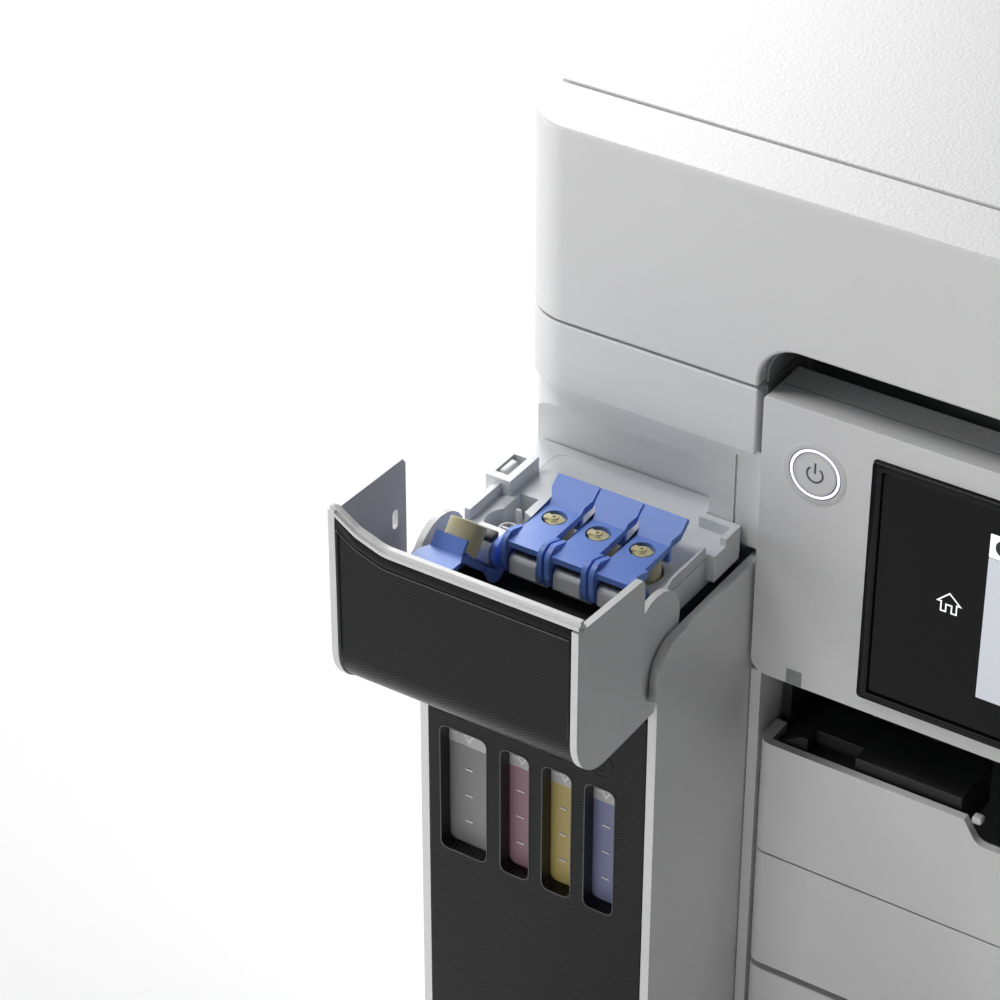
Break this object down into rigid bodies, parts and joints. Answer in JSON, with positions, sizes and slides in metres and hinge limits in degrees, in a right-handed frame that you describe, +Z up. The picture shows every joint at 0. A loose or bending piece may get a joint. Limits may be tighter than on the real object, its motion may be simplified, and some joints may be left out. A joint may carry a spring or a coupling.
{
  "type": "inkjet printer",
  "caption": "Office inkjet printer with front ink tanks under a hinged cover, a tilting touch panel, paper cassettes, a flatbed scanner and a document feeder.",
  "frame": {"origin": "centre of the bounding box in plan, on the surface that the feet stand on", "axes": "+Z up, front of the printer towards -Y, ink tanks on the -X side"},
  "size_m": [0.425, 0.5462, 0.35],
  "materials": {
    "white_plastic": "satin, fine leather-like grain",
    "pale_plastic": "satin",
    "panel_plastic": "satin",
    "black_plastic": "satin",
    "black_mesh_panel": "gloss over a fine mesh pattern",
    "touch_glass": "polished",
    "status_light": "diffused light guide",
    "cap_blue": "satin",
    "seal_rubber": "matt",
    "steel": "brushed",
    "soft_rubber": "matt",
    "scan_glass": "polished",
    "circuit_board": "satin",
    "ink_tank_black": "translucent",
    "ink_tank_magenta": "translucent",
    "ink_tank_yellow": "translucent",
    "ink_tank_cyan": "translucent"
  },
  "bodies": {
    "chassis": {"base_pan": "black_plastic", "left_cover": "white_plastic", "right_cover": "white_plastic", "rear_cover": "white_plastic", "power_inlet": "black_plastic", "foot_front_left": "soft_rubber", "foot_front_right": "soft_rubber", "foot_rear_left": "soft_rubber", "foot_rear_right": "soft_rubber", "front_frame": "white_plastic", "tank_housing": "white_plastic", "tank_front_panel": "black_mesh_panel", "ink_tank_black": "ink_tank_black", "ink_tank_magenta": "ink_tank_magenta", "ink_tank_yellow": "ink_tank_yellow", "ink_tank_cyan": "ink_tank_cyan", "tank_deck": "pale_plastic", "output_chute": "black_plastic", "engine_deck": "pale_plastic", "carriage_rail": "steel", "platen": "black_plastic", "timing_belt": "soft_rubber", "carriage_motor": "steel", "maintenance_box": "black_plastic", "power_supply": "steel", "main_board": "circuit_board"},
    "tank_cover": {"tank_cover": "white_plastic", "tank_cover_panel": "black_mesh_panel"},
    "cap_black": {"cap_black": "cap_blue", "cap_seal_black": "seal_rubber"},
    "cap_magenta": {"cap_magenta": "cap_blue", "cap_seal_magenta": "seal_rubber"},
    "cap_yellow": {"cap_yellow": "cap_blue", "cap_seal_yellow": "seal_rubber"},
    "cap_cyan": {"cap_cyan": "cap_blue", "cap_seal_cyan": "seal_rubber"},
    "control_panel": {"panel_housing": "panel_plastic", "touch_screen": "touch_glass", "power_ring": "status_light"},
    "power_button": {"power_button": "panel_plastic"},
    "scanner_unit": {"scanner_bed": "white_plastic", "platen_glass": "scan_glass"},
    "scan_carriage": {"scan_carriage": "black_plastic"},
    "document_cover": {"document_cover": "white_plastic"},
    "adf_cover": {"adf_cover": "white_plastic"},
    "adf_input_tray": {"adf_input_tray": "white_plastic"},
    "adf_roller": {"adf_roller": "soft_rubber"},
    "output_tray": {"output_tray": "white_plastic"},
    "output_stopper": {"output_stopper": "black_plastic"},
    "cassette_upper": {"cassette_upper": "white_plastic"},
    "guide_upper_left": {"edge_guide_upper_left": "pale_plastic"},
    "guide_upper_right": {"edge_guide_upper_right": "pale_plastic"},
    "cassette_lower": {"cassette_lower": "white_plastic"},
    "guide_lower_left": {"edge_guide_lower_left": "pale_plastic"},
    "guide_lower_right": {"edge_guide_lower_right": "pale_plastic"},
    "print_head": {"print_head": "black_plastic"},
    "feed_roller": {"feed_roller": "steel"},
    "pickup_roller_upper": {"pickup_roller_upper": "soft_rubber"},
    "pickup_roller_lower": {"pickup_roller_lower": "soft_rubber"},
    "rear_door": {"rear_door": "white_plastic"}
  },
  "joints": [
    {"name": "tank_cover_hinge", "type": "hinge", "parent": "chassis", "child": "tank_cover", "pos_m": [-0.16745, -0.22285, 0.2064], "axis": [-1, 0, 0], "range_deg": [0, 90]},
    {"name": "cap_black_hinge", "type": "hinge", "parent": "chassis", "child": "cap_black", "pos_m": [-0.1918, -0.21905, 0.229], "axis": [-1, 0, 0], "range_deg": [0, 138]},
    {"name": "cap_magenta_hinge", "type": "hinge", "parent": "chassis", "child": "cap_magenta", "pos_m": [-0.1749, -0.21905, 0.229], "axis": [-1, 0, 0], "range_deg": [-138, 0]},
    {"name": "cap_yellow_hinge", "type": "hinge", "parent": "chassis", "child": "cap_yellow", "pos_m": [-0.15925, -0.21905, 0.229], "axis": [-1, 0, 0], "range_deg": [-138, 0]},
    {"name": "cap_cyan_hinge", "type": "hinge", "parent": "chassis", "child": "cap_cyan", "pos_m": [-0.1436, -0.21905, 0.229], "axis": [-1, 0, 0], "range_deg": [-138, 0]},
    {"name": "panel_tilt", "type": "hinge", "parent": "chassis", "child": "control_panel", "pos_m": [0.0084, -0.16545, 0.2715], "axis": [-1, 0, 0], "range_deg": [0, 45]},
    {"name": "power_button_press", "type": "slide", "parent": "control_panel", "child": "power_button", "axis": [0, 1, 0], "range_m": [0, 0.0015], "stiffness_N_per_m": 300},
    {"name": "scanner_unit_lift", "type": "hinge", "parent": "chassis", "child": "scanner_unit", "pos_m": [0, 0.26555, 0.2583], "axis": [-1, 0, 0], "range_deg": [0, 28]},
    {"name": "scan_carriage_travel", "type": "slide", "parent": "scanner_unit", "child": "scan_carriage", "axis": [1, 0, 0], "range_m": [0, 0.31]},
    {"name": "document_cover_hinge", "type": "hinge", "parent": "scanner_unit", "child": "document_cover", "pos_m": [0, 0.26255, 0.2827], "axis": [-1, 0, 0], "range_deg": [0, 75]},
    {"name": "adf_cover_hinge", "type": "hinge", "parent": "document_cover", "child": "adf_cover", "pos_m": [-0.2125, 0.05955, 0.3226], "axis": [0, -1, 0], "range_deg": [0, 75]},
    {"name": "adf_input_tray_hinge", "type": "hinge", "parent": "document_cover", "child": "adf_input_tray", "pos_m": [0.003, 0.04855, 0.35], "axis": [0, -1, 0], "range_deg": [0, 30]},
    {"name": "adf_roller_spin", "type": "hinge", "parent": "document_cover", "child": "adf_roller", "pos_m": [-0.06, 0.05455, 0.312], "axis": [0, 1, 0], "continuous": true},
    {"name": "output_tray_slide", "type": "slide", "parent": "chassis", "child": "output_tray", "axis": [0, -1, 0], "range_m": [0, 0.16]},
    {"name": "output_stopper_hinge", "type": "hinge", "parent": "output_tray", "child": "output_stopper", "pos_m": [0.045, -0.15145, 0.1112], "axis": [1, 0, 0], "range_deg": [0, 90]},
    {"name": "cassette_upper_slide", "type": "slide", "parent": "chassis", "child": "cassette_upper", "axis": [0, -1, 0], "range_m": [0, 0.3]},
    {"name": "guide_upper_left_slide", "type": "slide", "parent": "cassette_upper", "child": "guide_upper_left", "axis": [1, 0, 0], "range_m": [-0.003, 0.05]},
    {"name": "guide_upper_right_slide", "type": "slide", "parent": "cassette_upper", "child": "guide_upper_right", "axis": [1, 0, 0], "range_m": [-0.05, 0.003]},
    {"name": "cassette_lower_slide", "type": "slide", "parent": "chassis", "child": "cassette_lower", "axis": [0, -1, 0], "range_m": [0, 0.3]},
    {"name": "guide_lower_left_slide", "type": "slide", "parent": "cassette_lower", "child": "guide_lower_left", "axis": [1, 0, 0], "range_m": [-0.003, 0.05]},
    {"name": "guide_lower_right_slide", "type": "slide", "parent": "cassette_lower", "child": "guide_lower_right", "axis": [1, 0, 0], "range_m": [-0.05, 0.003]},
    {"name": "print_head_travel", "type": "slide", "parent": "chassis", "child": "print_head", "axis": [-1, 0, 0], "range_m": [0, 0.2]},
    {"name": "feed_roller_spin", "type": "hinge", "parent": "chassis", "child": "feed_roller", "pos_m": [0.041, 0.03555, 0.184], "axis": [1, 0, 0], "continuous": true},
    {"name": "pickup_roller_upper_spin", "type": "hinge", "parent": "chassis", "child": "pickup_roller_upper", "pos_m": [0.041, 0.21455, 0.117], "axis": [1, 0, 0], "continuous": true},
    {"name": "pickup_roller_lower_spin", "type": "hinge", "parent": "chassis", "child": "pickup_roller_lower", "pos_m": [0.041, 0.24155, 0.066], "axis": [1, 0, 0], "continuous": true},
    {"name": "rear_door_hinge", "type": "hinge", "parent": "chassis", "child": "rear_door", "pos_m": [0.02, 0.27305, 0.0706], "axis": [-1, 0, 0], "range_deg": [0, 90]}
  ],
  "couplings": [
    {"joint": "cap_black_hinge", "follows": "tank_cover_hinge", "ratio": 1.5333},
    {"joint": "guide_upper_right_slide", "follows": "guide_upper_left_slide", "ratio": -1},
    {"joint": "guide_lower_right_slide", "follows": "guide_lower_left_slide", "ratio": -1}
  ]
}
